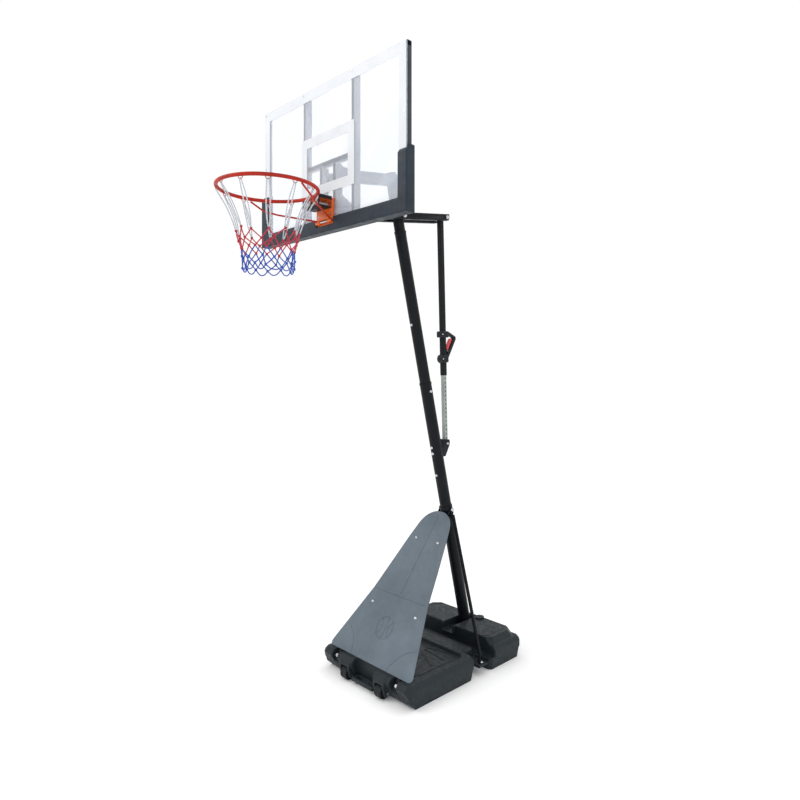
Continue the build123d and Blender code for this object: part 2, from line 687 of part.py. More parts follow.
def make_arms():
    run = PIVOT_RADIUS + RUNNING_GAP
    for side, name in ((-1, "right"), (1, "left")):
        with BuildPart() as lower_arm:
            arm_bar(side * ARM_X, B_LOW, L_TOP, ((B_LOW, run), (P_LOW, run), (L_TOP, PIVOT_RADIUS)))
        keep(f"lower_arm_{name}", lower_arm)
        with BuildPart() as upper_arm:
            arm_bar(side * ARM_X, B_HIGH, P_HIGH, ((B_HIGH, PIVOT_RADIUS + OPEN_PIVOT_GAP), (P_HIGH, run)))
        keep(f"upper_arm_{name}", upper_arm)
    with BuildPart() as lift_top_bolt:
        through_bolt(*L_TOP, ARM_X + ARM_WIDTH / 2 + 1, PIVOT_RADIUS, 12.0)
    keep("lift_top_bolt", lift_top_bolt)
    with BuildPart() as lift_spacers:
        for side in (-1, 1):
            ends = sorted((side * (LIFT_SIZE / 2 + 0.5), side * (ARM_X - ARM_WIDTH / 2)))
            with BuildSketch(side_plane(*L_TOP, x=ends[0])):
                Circle(11)
                Circle(PIVOT_RADIUS, mode=Mode.SUBTRACT)
            extrude(amount=ends[1] - ends[0])
    keep("lift_spacers", lift_spacers)
    with BuildPart() as pole_spacers:
        for y, z in (P_LOW, P_HIGH):
            for side in (-1, 1):
                ends = sorted((side * 27.0, side * (ARM_X - ARM_WIDTH / 2 - 0.3)))
                with BuildSketch(side_plane(y, z, x=ends[0])):
                    Circle(12)
                    Circle(PIVOT_RADIUS, mode=Mode.SUBTRACT)
                extrude(amount=ends[1] - ends[0])
        with BuildSketch(pole_plane(P_LOW[1] - 40)):
            Circle(POLE_RADII[2] + 0.05)
        extrude(amount=320, mode=Mode.SUBTRACT)
    keep("pole_spacers", pole_spacers)


def make_lift():
    with BuildPart() as lift_outer_tube:
        with BuildSketch(lift_section(-LIFT_END)):
            RectangleRounded(LIFT_SIZE, LIFT_SIZE, 3)
            RectangleRounded(LIFT_SIZE - 2 * LIFT_WALL, LIFT_SIZE - 2 * LIFT_WALL, 2, mode=Mode.SUBTRACT)
        extrude(amount=LIFT_END + 20)
        rod((-20, *L_TOP), (20, *L_TOP), PIVOT_RADIUS + RUNNING_GAP, Mode.SUBTRACT)
    keep("lift_outer_tube", lift_outer_tube)
    with BuildPart() as lift_inner_tube:
        foot = LIFT_LENGTH - INNER_FOOT_GAP
        with BuildSketch(lift_section(-foot)):
            RectangleRounded(INNER_SIZE, INNER_SIZE, 2.5)
            RectangleRounded(INNER_SIZE - 3, INNER_SIZE - 3, 1.5, mode=Mode.SUBTRACT)
        extrude(amount=foot - INNER_TOP)
        # Rows of latch holes down the rear and both sides
        with BuildSketch(lift_side(-20)):
            with Locations((0, -(LIFT_END + foot) / 2)):
                with GridLocations(0, 26, 1, 15):
                    SlotOverall(14, 7, rotation=90)
        extrude(amount=40, mode=Mode.SUBTRACT)
    keep("lift_inner_tube", lift_inner_tube)


def make_lift_foot():
    lean = pole_point(1250, POLE_RADII[0]) - Vector(0, pole_y(1250), 1250)
    front = lean.Y - 1.0
    with BuildPart() as lift_foot_bracket:
        for low in (-FOOT_PLATE_X - FOOT_PLATE, FOOT_PLATE_X):
            with BuildSketch(side_plane(0, 0, low)):
                with BuildLine():
                    Polyline(
                        (pole_y(1302) + front - 5, 1302),
                        (166, 1297),
                        (171, 1285),
                        (168, 1262),
                        (134, 1198),
                        (pole_y(1196) + front - 5, 1196),
                        close=True,
                    )
                make_face()
            extrude(amount=FOOT_PLATE)
            rod((low - 1, *L_FOOT), (low + FOOT_PLATE + 1, *L_FOOT), 4.0, Mode.SUBTRACT)
        block((-FOOT_PLATE_X, 110, 1198), (FOOT_PLATE_X, 132, 1202))
        rod(pole_point(1100), pole_point(1400), POLE_RADII[0] + 0.05, Mode.SUBTRACT)
    keep("lift_foot_bracket", lift_foot_bracket)
    with BuildPart() as lift_foot_bolt:
        through_bolt(*L_FOOT, FOOT_PLATE_X + FOOT_PLATE + 0.3, 4.0, 8.5)
    keep("lift_foot_bolt", lift_foot_bolt)


def handle_screw_points():
    """Where screws cross the handle's two clamps."""
    return [lift_side().from_local_coords(Vector(-22, v, 0)) for v in (HANDLE_TOP - 19, HANDLE_LOW + 26)]


def make_handle():
    with BuildPart() as handle:
        with BuildSketch(lift_side(-HANDLE_HALF)):
            with Locations((0, HANDLE_TOP - 19)):
                RectangleRounded(62, 38, 6)
            with Locations((-6, HANDLE_LOW + 26)):
                Circle(27)
            with Locations((4, HANDLE_LOW + 26)):
                RectangleRounded(44, 44, 8)
        extrude(amount=2 * HANDLE_HALF)
        with BuildSketch(lift_side(-GRIP_HALF)) as loop:
            with BuildLine():
                Polyline(
                    (20, HANDLE_TOP), (34, HANDLE_TOP), (100, -714), (103, -730), (28, -856), (16, -856), (16, -834),
                    (84, -726), (82, -721), (28, -700), (20, -700), close=True,
                )
            make_face()
        extrude(amount=2 * GRIP_HALF)
        with BuildSketch(lift_section(HANDLE_LOW - 20)):
            Rectangle(LIFT_SIZE + 0.2, LIFT_SIZE + 0.2)
        extrude(amount=240, mode=Mode.SUBTRACT)
        pivot = lift_side().from_local_coords(Vector(*TRIGGER_PIVOT, 0))
        # Two cheeks that hold the trigger's pin
        for low in (-GRIP_HALF, GRIP_HALF - 4):
            with BuildSketch(lift_side(low)):
                with Locations(TRIGGER_PIVOT):
                    Circle(9)
                with Locations((TRIGGER_PIVOT[0] + 9, TRIGGER_PIVOT[1])):
                    Rectangle(18, 14)
            extrude(amount=4)
        rod((-30, pivot.Y, pivot.Z), (30, pivot.Y, pivot.Z), 2.5, Mode.SUBTRACT)
        for point in handle_screw_points():
            rod((-30, point.Y, point.Z), (30, point.Y, point.Z), SCREW_RADIUS, Mode.SUBTRACT)
    keep("lift_handle", handle)
    with BuildPart() as trigger_pin:
        rod((-GRIP_HALF, pivot.Y, pivot.Z), (GRIP_HALF, pivot.Y, pivot.Z), 2.5)
    keep("trigger_pin", trigger_pin)
    with BuildPart() as trigger:
        with BuildSketch(lift_side(-GRIP_HALF + 4.3)):
            with BuildLine():
                Polyline((26, -807), (33, -797), (69, -731), (64, -725), (53, -732), (20, -794), (20, -803), close=True)
            make_face()
        extrude(amount=2 * GRIP_HALF - 8.6)
        fillet(trigger.edges().filter_by(Axis.X), 2.5)
        rod((-30, pivot.Y, pivot.Z), (30, pivot.Y, pivot.Z), 2.5 + RUNNING_GAP, Mode.SUBTRACT)
    keep("trigger", trigger)
    with BuildPart() as handle_screws:
        for point in handle_screw_points():
            dome_bolt((HANDLE_HALF, point.Y, point.Z), (1, 0, 0), 2 * HANDLE_HALF - 2, 5.0, SCREW_RADIUS)
    keep("handle_screws", handle_screws)


# ---------------------------------------------------------------- backboard


def make_panel():
    half = BOARD_WIDTH / 2
    back = BOARD_Y + PANEL_THICKNESS
    with BuildPart() as board_panel:
        block((-half, BOARD_Y, BOARD_LOW), (half, back, BOARD_HIGH))
        fillet(board_panel.edges().filter_by(Axis.Y), 8)
        for side in (-1, 1):
            for z in RIM_BOLTS_Z:
                rod((side * BRACKET_X, BOARD_Y - 1, z), (side * BRACKET_X, back + 1, z), 5.0, Mode.SUBTRACT)
        screw_holes()
    keep("board_panel", board_panel)
    face = Plane(origin=(0, BOARD_Y, 0), x_dir=(1, 0, 0), z_dir=(0, -1, 0))
    with BuildPart() as border_print:
        with BuildSketch(face):
            with Locations((0, (BOARD_LOW + BOARD_HIGH) / 2)):
                RectangleRounded(BOARD_WIDTH - 4, BOARD_HIGH - BOARD_LOW - 4, 7)
                Rectangle(BOARD_WIDTH - 2 * LINE - 4, BOARD_HIGH - BOARD_LOW - 2 * LINE - 4, mode=Mode.SUBTRACT)
        extrude(amount=PRINT)
        screw_holes()
    keep("border_print", border_print)
    with BuildPart() as square_print:
        with BuildSketch(face):
            with Locations((0, sum(SQUARE_Z) / 2)):
                Rectangle(2 * SQUARE_HALF, SQUARE_Z[1] - SQUARE_Z[0])
                Rectangle(2 * SQUARE_HALF - 2 * LINE, SQUARE_Z[1] - SQUARE_Z[0] - 2 * LINE, mode=Mode.SUBTRACT)
        extrude(amount=PRINT)
    keep("square_print", square_print)


def make_board_frame():
    half = BOARD_WIDTH / 2
    front = BOARD_Y + PANEL_THICKNESS
    back = front + RAIL
    with BuildPart() as frame_rails:
        for low in (BOARD_LOW, BOARD_HIGH - RAIL):
            box_tube((-half, front, low), (half, back, low + RAIL), RAIL_WALL, 0)
        screw_holes()
    keep("frame_rails", frame_rails)
    with BuildPart() as frame_side_rails:
        for side in (-1, 1):
            xs = sorted((side * half, side * (half - RAIL)))
            box_tube((xs[0], front, BOARD_LOW + RAIL), (xs[1], back, BOARD_HIGH - RAIL), RAIL_WALL, 2)
        screw_holes()
    keep("frame_side_rails", frame_side_rails)
    wide, deep = UPRIGHT_SIZE
    with BuildPart() as frame_uprights:
        for side in (-1, 1):
            x = side * UPRIGHT_X
            box_tube((x - wide / 2, front, BOARD_LOW + RAIL), (x + wide / 2, front + deep, BOARD_HIGH - RAIL),
                     RAIL_WALL, 2)
    keep("frame_uprights", frame_uprights)
    with BuildPart() as frame_cross_bar:
        reach = UPRIGHT_X - wide / 2
        box_tube((-reach, front, CROSS_BAR_Z), (reach, back, CROSS_BAR_Z + RAIL), RAIL_WALL, 0)
    keep("frame_cross_bar", frame_cross_bar)
    with BuildPart() as bracket_uprights:
        for side in (-1, 1):
            x = side * BRACKET_X
            box_tube((x - wide / 2, front, BOARD_LOW + RAIL), (x + wide / 2, front + deep, CROSS_BAR_Z), 2, 2)
            for z in RIM_BOLTS_Z:
                rod((x, front - 1, z), (x, front + deep + 1, z), 5.0, Mode.SUBTRACT)
    keep("bracket_uprights", bracket_uprights)


def make_side_plates():
    front = BOARD_Y + PANEL_THICKNESS + 2
    back = BOARD_Y + PANEL_THICKNESS + UPRIGHT_SIZE[1]
    inner = BRACKET_X + UPRIGHT_SIZE[0] / 2
    y_high, z_high = B_HIGH
    y_low, z_low = B_LOW
    with BuildPart() as bracket_side_plates:
        for side in (-1, 1):
            low = min(side * inner, side * (inner + SIDE_PLATE))
            with BuildSketch(side_plane(0, 0, low)):
                with BuildLine():
                    Polyline(
                        (front, CROSS_BAR_Z - 4),
                        (y_high - 8, z_high + 22),
                        (y_high + 14, z_high + 18),
                        (y_high + 22, z_high - 4),
                        (y_high + 12, z_high - 24),
                        (back, z_high - 60),
                        (back, z_low + 78),
                        (y_low + 10, z_low + 24),
                        (y_low + 22, z_low + 6),
                        (y_low + 14, z_low - 20),
                        (y_low - 10, z_low - 26),
                        (front, BOARD_LOW + RAIL + 12),
                        close=True,
                    )
                make_face()
            extrude(amount=SIDE_PLATE)
        for y, z in (B_HIGH, B_LOW):
            rod((-100, y, z), (100, y, z), PIVOT_RADIUS, Mode.SUBTRACT)
    keep("bracket_side_plates", bracket_side_plates)
    with BuildPart() as board_pivot_bolts:
        for y, z in (B_HIGH, B_LOW):
            through_bolt(y, z, inner + SIDE_PLATE + 0.5, PIVOT_RADIUS, 12.0)
    keep("board_pivot_bolts", board_pivot_bolts)


def screw_points():
    """Where screws hold the panel to its frame, as (x, z)."""
    half = BOARD_WIDTH / 2 - RAIL / 2
    low, high = BOARD_LOW + RAIL / 2, BOARD_HIGH - RAIL / 2
    points = [(x, z) for x in (-half, half) for z in (high, (low + high) / 2 + 60)]
    return points + [(x, high) for x in (-UPRIGHT_X, UPRIGHT_X)]


def screw_holes():
    for x, z in screw_points():
        rod((x, BOARD_Y - 2, z), (x, BOARD_Y + 15, z), SCREW_RADIUS, Mode.SUBTRACT)


def make_board_screws():
    with BuildPart() as board_screws:
        for x, z in screw_points():
            dome_bolt((x, BOARD_Y - PRINT, z), (0, -1, 0), 12, 5.0, SCREW_RADIUS)
    keep("board_screws", board_screws)


def make_pad():
    half = BOARD_WIDTH / 2
    front, back = BOARD_Y - 16, BOARD_Y + PANEL_THICKNESS + RAIL + 7
    with BuildPart() as edge_pad:
        block((-half - 16, front, BOARD_LOW - 12), (half + 16, back, PAD_TOP))
        with BuildSketch(side_plane(0, 0, -half - 20)):
            with BuildLine():
                Polyline((front - 1, PAD_TOP - 32), (front + 30, PAD_TOP + 1), (front - 1, PAD_TOP + 1), close=True)
            make_face()
        extrude(amount=2 * half + 40, mode=Mode.SUBTRACT)
        block((-half - 0.6, BOARD_Y - 1.4, BOARD_LOW - 0.6),
              (half + 0.6, BOARD_Y + PANEL_THICKNESS + RAIL + 0.6, PAD_TOP + 9), Mode.SUBTRACT)
        block((-half + 46, front - 1, PAD_FRONT_TOP), (half - 46, BOARD_Y, PAD_TOP + 9), Mode.SUBTRACT)
        block((-half + 24, BOARD_Y, BOARD_LOW + 20), (half - 24, back + 1, PAD_TOP + 9), Mode.SUBTRACT)
        # Relief round the rim's mounting plate
        block((-PLATE_HALF - 8, front - 1, BOARD_LOW + 22), (PLATE_HALF + 8, BOARD_Y, PAD_FRONT_TOP + 9), Mode.SUBTRACT)
    keep("edge_pad", edge_pad)


# ---------------------------------------------------------------- rim


def make_rim_mount():
    rear = BOARD_Y - PRINT - 0.2
    front = rear - MOUNT_PLATE
    y, z = HINGE
    with BuildPart() as rim_mount_plate:
        block((-PLATE_HALF, front, 2466), (PLATE_HALF, rear, 2596))
        for side in (-1, 1):
            xs = sorted((side * 34.0, side * 46.0))
            block((xs[0], y, z - 8), (xs[1], front + 1, z + 8))
            with BuildSketch(side_plane(y, z, xs[0])):
                Circle(8)
            extrude(amount=12)
            for bolt_z in RIM_BOLTS_Z:
                rod((side * BRACKET_X, front - 1, bolt_z), (side * BRACKET_X, rear + 1, bolt_z), 5.0, Mode.SUBTRACT)
        rod((-60, y, z), (60, y, z), 4.0, Mode.SUBTRACT)
    keep("rim_mount_plate", rim_mount_plate)
    with BuildPart() as rim_mount_bolts:
        for side in (-1, 1):
            for bolt_z in RIM_BOLTS_Z:
                with BuildSketch(Plane(origin=(side * BRACKET_X, front - 0.1, bolt_z), z_dir=(0, -1, 0))):
                    RegularPolygon(7.2, 6)
                extrude(amount=5)
                rod((side * BRACKET_X, front - 0.1, bolt_z), (side * BRACKET_X, -668, bolt_z), 4.9)
    keep("rim_mount_bolts", rim_mount_bolts)
    with BuildPart() as rim_hinge_pin:
        rod((-PLATE_HALF, y, z), (PLATE_HALF, y, z), 4.0)
    keep("rim_hinge_pin", rim_hinge_pin)
    with BuildPart() as spring_bolts:
        for side in (-1, 1):
            x = side * SPRING_X
            rod((x, front, SPRING_Z), (x, SPRING_Y[0] - 4, SPRING_Z), 4.0)
            rod((x, SPRING_Y[0] - 3, SPRING_Z), (x, SPRING_Y[0], SPRING_Z), SPRING_RADIUS)
            with BuildSketch(Plane(origin=(x, SPRING_Y[0] - 3, SPRING_Z), z_dir=(0, -1, 0))):
                RegularPolygon(8, 6)
            extrude(amount=6)
    keep("spring_bolts", spring_bolts)


def make_springs():
    length = SPRING_Y[1] - SPRING_Y[0] - 5
    with BuildPart() as rim_springs:
        for side in (-1, 1):
            with BuildLine(Plane(origin=(side * SPRING_X, SPRING_Y[0] + 2.5, SPRING_Z), z_dir=(0, 1, 0))) as coil:
                Helix(length / 9, length, SPRING_RADIUS - SPRING_WIRE, direction=(0, 1, 0))
            with BuildSketch(Plane(origin=coil.line @ 0, z_dir=coil.line % 0)):
                Circle(SPRING_WIRE)
            sweep(path=coil.line, is_frenet=True)
    keep("rim_springs", rim_springs)


def make_rim_bracket():
    y, z = HINGE
    back = -731.0
    with BuildPart() as rim_bracket:
        # Front plate, hinged at its foot
        block((-PLATE_HALF, back - 5, z + 12), (PLATE_HALF, back, SHELF_Z[1]))
        # Shelf from the front plate to the ring
        block((-PLATE_HALF, -846, SHELF_Z[0]), (PLATE_HALF, back, SHELF_Z[1]))
        for side in (-1, 1):
            lug = sorted((side * 48.0, side * PLATE_HALF))
            block((lug[0], y, z - 8), (lug[1], back, z + 14))
            with BuildSketch(side_plane(y, z, lug[0])):
                Circle(8)
            extrude(amount=lug[1] - lug[0])
            for bolt_z in RIM_BOLTS_Z:
                rod((side * BRACKET_X, back - 8, bolt_z), (side * BRACKET_X, back + 3, bolt_z), 9.0, Mode.SUBTRACT)
            slot_plane = Plane(origin=(side * SPRING_X, back + 1, SPRING_Z), x_dir=(0, 0, 1), z_dir=(0, -1, 0))
            with BuildSketch(slot_plane):
                SlotOverall(32, 16)
            extrude(amount=8, mode=Mode.SUBTRACT)
        rod((-80, y, z), (80, y, z), 4.0 + RUNNING_GAP, Mode.SUBTRACT)
        with BuildSketch(Plane.XY.offset(2560)):
            with Locations(RIM_CENTRE[:2]):
                Circle(RIM_RADIUS + 6)
        extrude(amount=60, mode=Mode.SUBTRACT)
    keep("rim_bracket", rim_bracket)
    with BuildPart() as spring_cover:
        # Roof over the shelf, tray under the springs, and a skirt and a post at each side
        block((-COVER_HALF, -820, SHELF_Z[1] + 0.2), (COVER_HALF, -738, 2599))
        block((-COVER_HALF, -820, 2540), (COVER_HALF, -742, 2545))
        for side in (-1, 1):
            xs = sorted((side * (PLATE_HALF + 0.4), side * COVER_HALF))
            block((xs[0], -820, 2580), (xs[1], -738, 2594))
            block((xs[0], -820, 2542), (xs[1], -812, 2594))
        with BuildSketch(Plane.XY.offset(2590)):
            with Locations(RIM_CENTRE[:2]):
                Circle(RIM_RADIUS + ROD_RADIUS + 1)
        extrude(amount=20, mode=Mode.SUBTRACT)
    keep("spring_cover", spring_cover)


def make_ring():
    with BuildPart() as rim_ring:
        with BuildSketch(Plane(origin=(RIM_RADIUS, RIM_CENTRE[1], RIM_CENTRE[2]), z_dir=(0, 1, 0))):
            Circle(ROD_RADIUS)
        revolve(axis=Axis(RIM_CENTRE, (0, 0, 1)))
    keep("rim_ring", rim_ring)
    with BuildPart() as rim_braces:
        for side in (-1, 1):
            points = [
                (side * 233, -1020, 2574),
                (side * 214, -958, 2534),
                (side * 172, -902, 2516),
                (side * 58, -741, 2490),
            ]
            with BuildLine() as route:
                FilletPolyline(*points, radius=[70, 70])
            with BuildSketch(Plane(origin=route.line @ 0, z_dir=route.line % 0)):
                Circle(BRACE_RADIUS)
            sweep(path=route.line)
    keep("rim_braces", rim_braces)
    with BuildPart() as net_hooks:
        for i in range(HOOKS):
            angle = math.radians(360 * i / HOOKS)
            radial = Vector(math.cos(angle), math.sin(angle), 0)
            tangent = Vector(-math.sin(angle), math.cos(angle), 0)
            middle = Vector(*RIM_CENTRE) + radial * RIM_RADIUS + Vector(0, 0, -ROD_RADIUS + 1)
            with BuildLine() as loop:
                ThreePointArc(middle - tangent * 11, middle - Vector(0, 0, 13), middle + tangent * 11)
            with BuildSketch(Plane(origin=loop.line @ 0, z_dir=loop.line % 0)):
                Circle(1.8)
            sweep(path=loop.line)
    keep("net_hooks", net_hooks)


def make_net():
    """The net's outer shape, a thin tapered sleeve open at both ends."""
    outer = [(radius, z) for z, radius in NET_LEVELS]
    inner = [(radius - NET_WALL, z) for z, radius in reversed(NET_LEVELS)]
    with BuildPart() as net:
        with BuildSketch(Plane(origin=(0, RIM_CENTRE[1], 0), x_dir=(1, 0, 0), z_dir=(0, -1, 0))):
            with BuildLine():
                Polyline(*outer, *inner, close=True)
            make_face()
        revolve(axis=Axis((0, RIM_CENTRE[1], 0), (0, 0, 1)))
    keep("net", net)


make_base_tank()
make_ballast()
make_filler_cap()
make_wheels()
make_pull_handle()
make_pole()
make_arm_bolts()
make_collar()
make_struts()
make_strut_foot_bolts()
make_shield()
make_arms()
make_lift()
make_lift_foot()
make_handle()
make_panel()
make_board_frame()
make_side_plates()
make_board_screws()
make_pad()
make_rim_mount()
make_springs()
make_rim_bracket()
make_ring()
make_net()

os.makedirs("parts", exist_ok=True)
for name, piece in pieces.items():
    piece.part.label = name
    export_step(piece.part, f"parts/{name}.step")
print(len(pieces), "nodes written")
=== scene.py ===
import json
import math
import random

import bmesh
import bpy
from mathutils import Matrix, Vector, noise


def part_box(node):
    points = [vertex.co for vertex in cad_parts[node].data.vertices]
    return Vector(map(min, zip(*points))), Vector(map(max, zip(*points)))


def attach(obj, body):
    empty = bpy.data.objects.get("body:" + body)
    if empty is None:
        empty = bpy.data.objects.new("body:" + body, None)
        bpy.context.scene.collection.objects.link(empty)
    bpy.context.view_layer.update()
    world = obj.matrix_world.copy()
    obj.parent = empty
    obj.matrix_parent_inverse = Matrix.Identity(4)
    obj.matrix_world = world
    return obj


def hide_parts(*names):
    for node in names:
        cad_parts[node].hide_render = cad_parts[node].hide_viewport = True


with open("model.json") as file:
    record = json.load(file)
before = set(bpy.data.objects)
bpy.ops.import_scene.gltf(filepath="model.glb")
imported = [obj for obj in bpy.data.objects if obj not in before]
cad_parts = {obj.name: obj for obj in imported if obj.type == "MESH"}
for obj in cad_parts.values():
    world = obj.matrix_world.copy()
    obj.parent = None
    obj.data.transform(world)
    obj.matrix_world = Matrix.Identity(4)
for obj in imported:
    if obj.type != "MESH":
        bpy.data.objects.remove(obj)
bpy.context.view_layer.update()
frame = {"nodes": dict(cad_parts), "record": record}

NODES = frame["nodes"]
RECORD = frame["record"]
BODY_OF = {n: b for b, ns in RECORD["behaviour"]["bodies"].items() for n in ns}
SLOT_OF = {p["node"]: p["material_slot"] for p in RECORD["subparts"]}
SEED = 12
random.seed(SEED)
TURN = 2 * math.pi


# ------------------------------------------------------------------ materials


class Shader:
    """One Principled material, wired from object coordinates."""

    def __init__(self, name, base, rough, metallic=0.0, coat=0.0, alpha=1.0, specular=0.5):
        self.mat = bpy.data.materials.new(name)
        self.mat.use_nodes = True
        self.tree = self.mat.node_tree
        self.bsdf = self.tree.nodes["Principled BSDF"]
        self.bsdf.inputs["Base Color"].default_value = (*base, 1)
        self.bsdf.inputs["Roughness"].default_value = rough
        self.bsdf.inputs["Metallic"].default_value = metallic
        self.bsdf.inputs["Coat Weight"].default_value = coat
        self.bsdf.inputs["Alpha"].default_value = alpha
        self.bsdf.inputs["Specular IOR Level"].default_value = specular
        self.coords = self.node("ShaderNodeTexCoord").outputs["Object"]
        self.height = None

    def node(self, kind, **values):
        n = self.tree.nodes.new(kind)
        for key, value in values.items():
            if key in n.inputs:
                n.inputs[key].default_value = value
            else:
                setattr(n, key, value)
        return n

    def link(self, a, b):
        self.tree.links.new(a, b)

    def stretched(self, scale):
        mapping = self.node("ShaderNodeMapping")
        mapping.inputs["Scale"].default_value = scale
        self.link(self.coords, mapping.inputs["Vector"])
        return mapping.outputs["Vector"]

    def noise(self, scale, detail=3.0, roughness=0.55, stretch=None):
        n = self.node("ShaderNodeTexNoise", Scale=scale, Detail=detail, Roughness=roughness)
        self.link(self.stretched(stretch) if stretch else self.coords, n.inputs["Vector"])
        return n.outputs["Fac"]

    def cells(self, scale):
        n = self.node("ShaderNodeTexVoronoi", Scale=scale)
        self.link(self.coords, n.inputs["Vector"])
        return n.outputs["Distance"]

    def ramp(self, source, *stops):
        n = self.node("ShaderNodeValToRGB")
        ramp = n.color_ramp
        while len(ramp.elements) < len(stops):
            ramp.elements.new(0.5)
        for element, (place, colour) in zip(ramp.elements, stops):
            element.position = place
            element.color = (*colour, 1) if len(colour) == 3 else (colour[0],) * 3 + (1,)
        self.link(source, n.inputs["Fac"])
        return n.outputs["Color"]

    def mix(self, factor, a, b):
        n = self.node("ShaderNodeMix", data_type="RGBA")
        self.link(factor, n.inputs["Factor"])
        self.link(a, n.inputs["A"])
        self.link(b, n.inputs["B"])
        return n.outputs["Result"]

    def rough_by(self, source, low, high, start=0.35, end=0.65):
        self.link(self.ramp(source, (start, (low,)), (end, (high,))), self.bsdf.inputs["Roughness"])

    def colour_by(self, source, *stops):
        self.link(self.ramp(source, *stops), self.bsdf.inputs["Base Color"])

    def bump(self, source, strength, distance):
        n = self.node("ShaderNodeBump", Strength=strength, Distance=distance)
        self.link(source, n.inputs["Height"])
        if self.height is not None:
            self.link(self.height, n.inputs["Normal"])
        self.height = n.outputs["Normal"]
        self.link(self.height, self.bsdf.inputs["Normal"])
        return self


def shade(colour, factor):
    """The colour made lighter or darker."""
    return tuple(min(1.0, c * factor) for c in colour)


def powder_coat(name, colour, rough=0.36, specular=0.4):
    """Powder coat: an even skin with faint orange peel and a little dust."""
    s = Shader(name, colour, rough, specular=specular)
    cloud = s.noise(9, 4)
    s.colour_by(cloud, (0.3, shade(colour, 0.82)), (0.72, shade(colour, 1.25)))
    s.rough_by(s.noise(35, 5), rough - 0.07, rough + 0.10)
    s.bump(s.noise(420, 2), 0.10, 0.0006)
    return s.mat


def bright_metal(name, colour, rough=0.26, stretch=(1, 1, 30)):
    """Zinc plate: brushed grain with soft patches."""
    s = Shader(name, colour, rough, metallic=1.0)
    s.colour_by(s.noise(60, 4), (0.3, shade(colour, 0.78)), (0.7, shade(colour, 1.12)))
    s.rough_by(s.noise(50, 6, stretch=stretch), rough - 0.08, rough + 0.16)
    s.bump(s.noise(300, 3, stretch=stretch), 0.08, 0.0003)
    return s.mat


def moulded(name, colour, rough, grain=650, depth=0.28, scuff=0.5, specular=0.22):
    """Blow-moulded or injected plastic: leather grain, flow clouds and pale scuffs."""
    s = Shader(name, colour, rough, specular=specular)
    flow = s.noise(3.2, 5, 0.6)
    clouds = s.ramp(flow, (0.30, shade(colour, 0.80)), (0.74, shade(colour, 1.22)))
    wear = s.noise(26, 9, 0.72, stretch=(1, 3.5, 1))
    scratches = s.ramp(wear, (0.60, (0, 0, 0)), (0.80, (scuff,) * 3))
    pale = s.node("ShaderNodeRGB")
    pale.outputs[0].default_value = (*[min(1, c * 2.1 + 0.03) for c in colour], 1)
    s.link(s.mix(scratches, clouds, pale.outputs[0]), s.bsdf.inputs["Base Color"])
    s.rough_by(s.noise(40, 6), rough - 0.09, rough + 0.12)
    s.bump(s.cells(grain), depth, 0.0004)
    s.bump(s.noise(5, 3), 0.25, 0.0016)
    return s.mat


def foam_skin(name, colour):
    """Self-skinned foam: smooth, slightly pebbled, with worn pale spots."""
    s = Shader(name, colour, 0.5, specular=0.28)
    s.colour_by(s.noise(7, 5, 0.6), (0.28, shade(colour, 0.8)), (0.75, shade(colour, 1.3)))
    s.rough_by(s.noise(30, 5), 0.42, 0.60)
    s.bump(s.cells(900), 0.22, 0.0003)
    s.bump(s.noise(14, 4), 0.3, 0.0012)
    return s.mat


def gloss_plastic(name, colour, rough=0.2):
    """Glossy moulded plastic under a clear coat."""
    s = Shader(name, colour, rough, coat=0.5)
    s.colour_by(s.noise(20, 3), (0.3, shade(colour, 0.85)), (0.7, shade(colour, 1.12)))
    s.rough_by(s.noise(60, 4), rough - 0.06, rough + 0.1)
    s.bump(s.noise(180, 2), 0.08, 0.0003)
    return s.mat


def clear_sheet(name):
    """Polished acrylic: a pale veil over what is behind it, with faint smears."""
    s = Shader(name, (0.80, 0.85, 0.93), 0.07, alpha=0.34)
    s.colour_by(s.noise(2.2, 5, 0.6), (0.3, (0.74, 0.80, 0.90)), (0.75, (0.86, 0.90, 0.96)))
    s.rough_by(s.noise(6, 6, 0.65), 0.04, 0.14)
    s.bump(s.noise(1.5, 2), 0.05, 0.002)
    return s.mat


def printed(name, colour):
    """Screen print: nearly flat, with a fine grain."""
    s = Shader(name, colour, 0.42)
    s.colour_by(s.noise(8, 4), (0.3, shade(colour, 0.94)), (0.7, shade(colour, 1.03)))
    s.bump(s.noise(700, 2), 0.1, 0.0001)
    return s.mat


def braid(name, colour):
    """Polyester cord: fine fibres along the lay and a soft sheen."""
    s = Shader(name, colour, 0.72, specular=0.25)
    s.bsdf.inputs["Sheen Weight"].default_value = 0.4
    s.bsdf.inputs["Sheen Roughness"].default_value = 0.5
    s.colour_by(s.noise(220, 5, 0.7), (0.3, shade(colour, 0.72)), (0.65, shade(colour, 1.1)))
    s.bump(s.noise(1400, 3), 0.5, 0.0004)
    return s.mat


